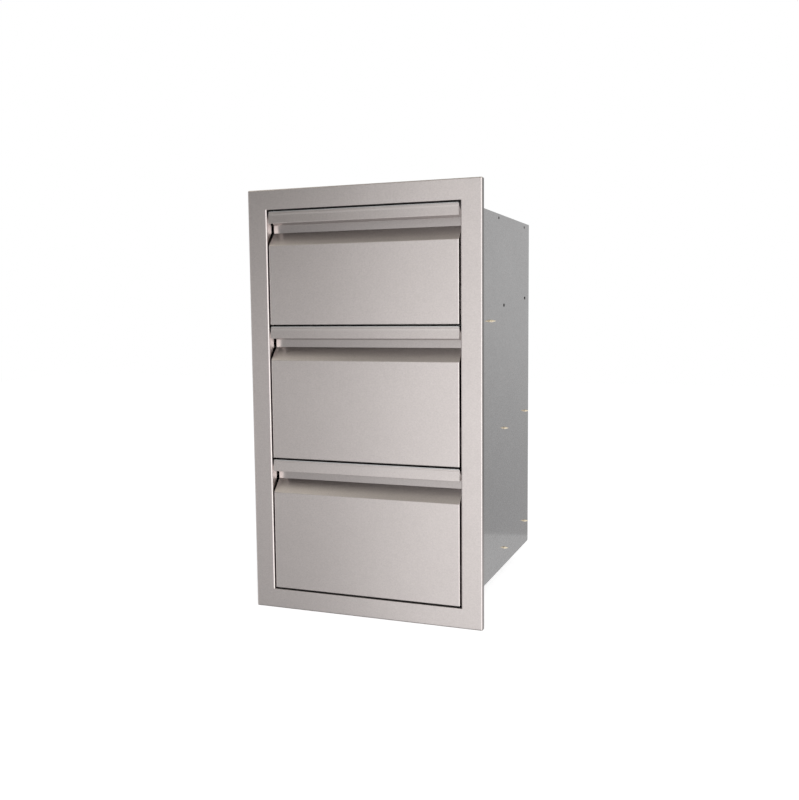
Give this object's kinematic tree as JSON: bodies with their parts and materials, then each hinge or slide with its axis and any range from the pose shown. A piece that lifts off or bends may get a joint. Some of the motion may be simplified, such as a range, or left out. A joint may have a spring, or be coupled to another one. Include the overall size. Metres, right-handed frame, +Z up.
{
  "type": "outdoor kitchen drawer unit",
  "caption": "Built-in brushed steel drawer unit with a flush trim frame, stacked full-extension drawers and folded full-width finger pulls.",
  "frame": {"origin": "middle of the underside of the box, on the sill of the cut-out", "axes": "+X to the user's right, -Y out of the front where the drawers open, +Z up"},
  "size_m": [0.432, 0.502, 0.757],
  "materials": {
    "trim_steel": "stainless steel, brushed along the trim",
    "front_steel": "stainless steel, brushed across the front",
    "case_steel": "stainless steel, bright cold-rolled",
    "inner_steel": "stainless steel, dull cold-rolled",
    "slide_zinc": "bright zinc plate",
    "cage_steel": "bright steel, lightly greased",
    "yellow_screw": "yellow zinc plate",
    "bumper_nylon": "black nylon"
  },
  "bodies": {
    "cabinet": {"face_frame": "trim_steel", "side_panel_left": "case_steel", "side_panel_right": "case_steel", "top_panel": "case_steel", "bottom_panel": "case_steel", "back_panel": "inner_steel", "cross_stay": "inner_steel", "slide_outer_left_top": "slide_zinc", "slide_bumper_left_top": "bumper_nylon", "slide_outer_right_top": "slide_zinc", "slide_bumper_right_top": "bumper_nylon", "slide_outer_left_middle": "slide_zinc", "slide_bumper_left_middle": "bumper_nylon", "slide_screw_left_middle_middle": "yellow_screw", "slide_screw_left_middle_rear": "yellow_screw", "slide_outer_right_middle": "slide_zinc", "slide_bumper_right_middle": "bumper_nylon", "slide_screw_right_middle_middle": "yellow_screw", "slide_screw_right_middle_rear": "yellow_screw", "slide_outer_left_bottom": "slide_zinc", "slide_bumper_left_bottom": "bumper_nylon", "slide_screw_left_bottom_middle": "yellow_screw", "slide_screw_left_bottom_rear": "yellow_screw", "slide_outer_right_bottom": "slide_zinc", "slide_bumper_right_bottom": "bumper_nylon", "slide_screw_right_bottom_middle": "yellow_screw", "slide_screw_right_bottom_rear": "yellow_screw"},
    "drawer_top": {"drawer_front_top": "front_steel", "drawer_liner_top": "inner_steel", "drawer_tray_top": "inner_steel", "slide_inner_left_top": "slide_zinc", "slide_inner_right_top": "slide_zinc"},
    "intermediates_top": {"slide_intermediate_left_top": "slide_zinc", "slide_intermediate_right_top": "slide_zinc"},
    "outer_cages_top": {"cage_outer_left_top": "cage_steel", "cage_outer_right_top": "cage_steel"},
    "inner_cages_top": {"cage_inner_left_top": "cage_steel", "cage_inner_right_top": "cage_steel"},
    "drawer_middle": {"drawer_front_middle": "front_steel", "drawer_liner_middle": "inner_steel", "drawer_tray_middle": "inner_steel", "slide_inner_left_middle": "slide_zinc", "slide_inner_right_middle": "slide_zinc"},
    "intermediates_middle": {"slide_intermediate_left_middle": "slide_zinc", "slide_intermediate_right_middle": "slide_zinc"},
    "outer_cages_middle": {"cage_outer_left_middle": "cage_steel", "cage_outer_right_middle": "cage_steel"},
    "inner_cages_middle": {"cage_inner_left_middle": "cage_steel", "cage_inner_right_middle": "cage_steel"},
    "drawer_bottom": {"drawer_front_bottom": "front_steel", "drawer_liner_bottom": "inner_steel", "drawer_tray_bottom": "inner_steel", "slide_inner_left_bottom": "slide_zinc", "slide_inner_right_bottom": "slide_zinc"},
    "intermediates_bottom": {"slide_intermediate_left_bottom": "slide_zinc", "slide_intermediate_right_bottom": "slide_zinc"},
    "outer_cages_bottom": {"cage_outer_left_bottom": "cage_steel", "cage_outer_right_bottom": "cage_steel"},
    "inner_cages_bottom": {"cage_inner_left_bottom": "cage_steel", "cage_inner_right_bottom": "cage_steel"}
  },
  "joints": [
    {"name": "drawer_top_slide", "type": "slide", "parent": "cabinet", "child": "drawer_top", "axis": [0, -1, 0], "range_m": [0, 0.45]},
    {"name": "intermediates_top_slide", "type": "slide", "parent": "cabinet", "child": "intermediates_top", "axis": [0, -1, 0], "range_m": [0, 0.225]},
    {"name": "outer_cages_top_slide", "type": "slide", "parent": "cabinet", "child": "outer_cages_top", "axis": [0, -1, 0], "range_m": [0, 0.1125]},
    {"name": "inner_cages_top_slide", "type": "slide", "parent": "cabinet", "child": "inner_cages_top", "axis": [0, -1, 0], "range_m": [0, 0.3375]},
    {"name": "drawer_middle_slide", "type": "slide", "parent": "cabinet", "child": "drawer_middle", "axis": [0, -1, 0], "range_m": [0, 0.45]},
    {"name": "intermediates_middle_slide", "type": "slide", "parent": "cabinet", "child": "intermediates_middle", "axis": [0, -1, 0], "range_m": [0, 0.225]},
    {"name": "outer_cages_middle_slide", "type": "slide", "parent": "cabinet", "child": "outer_cages_middle", "axis": [0, -1, 0], "range_m": [0, 0.1125]},
    {"name": "inner_cages_middle_slide", "type": "slide", "parent": "cabinet", "child": "inner_cages_middle", "axis": [0, -1, 0], "range_m": [0, 0.3375]},
    {"name": "drawer_bottom_slide", "type": "slide", "parent": "cabinet", "child": "drawer_bottom", "axis": [0, -1, 0], "range_m": [0, 0.45]},
    {"name": "intermediates_bottom_slide", "type": "slide", "parent": "cabinet", "child": "intermediates_bottom", "axis": [0, -1, 0], "range_m": [0, 0.225]},
    {"name": "outer_cages_bottom_slide", "type": "slide", "parent": "cabinet", "child": "outer_cages_bottom", "axis": [0, -1, 0], "range_m": [0, 0.1125]},
    {"name": "inner_cages_bottom_slide", "type": "slide", "parent": "cabinet", "child": "inner_cages_bottom", "axis": [0, -1, 0], "range_m": [0, 0.3375]}
  ],
  "couplings": [
    {"joint": "intermediates_top_slide", "follows": "drawer_top_slide", "ratio": 0.5},
    {"joint": "outer_cages_top_slide", "follows": "drawer_top_slide", "ratio": 0.25},
    {"joint": "inner_cages_top_slide", "follows": "drawer_top_slide", "ratio": 0.75},
    {"joint": "intermediates_middle_slide", "follows": "drawer_middle_slide", "ratio": 0.5},
    {"joint": "outer_cages_middle_slide", "follows": "drawer_middle_slide", "ratio": 0.25},
    {"joint": "inner_cages_middle_slide", "follows": "drawer_middle_slide", "ratio": 0.75},
    {"joint": "intermediates_bottom_slide", "follows": "drawer_bottom_slide", "ratio": 0.5},
    {"joint": "outer_cages_bottom_slide", "follows": "drawer_bottom_slide", "ratio": 0.25},
    {"joint": "inner_cages_bottom_slide", "follows": "drawer_bottom_slide", "ratio": 0.75}
  ]
}
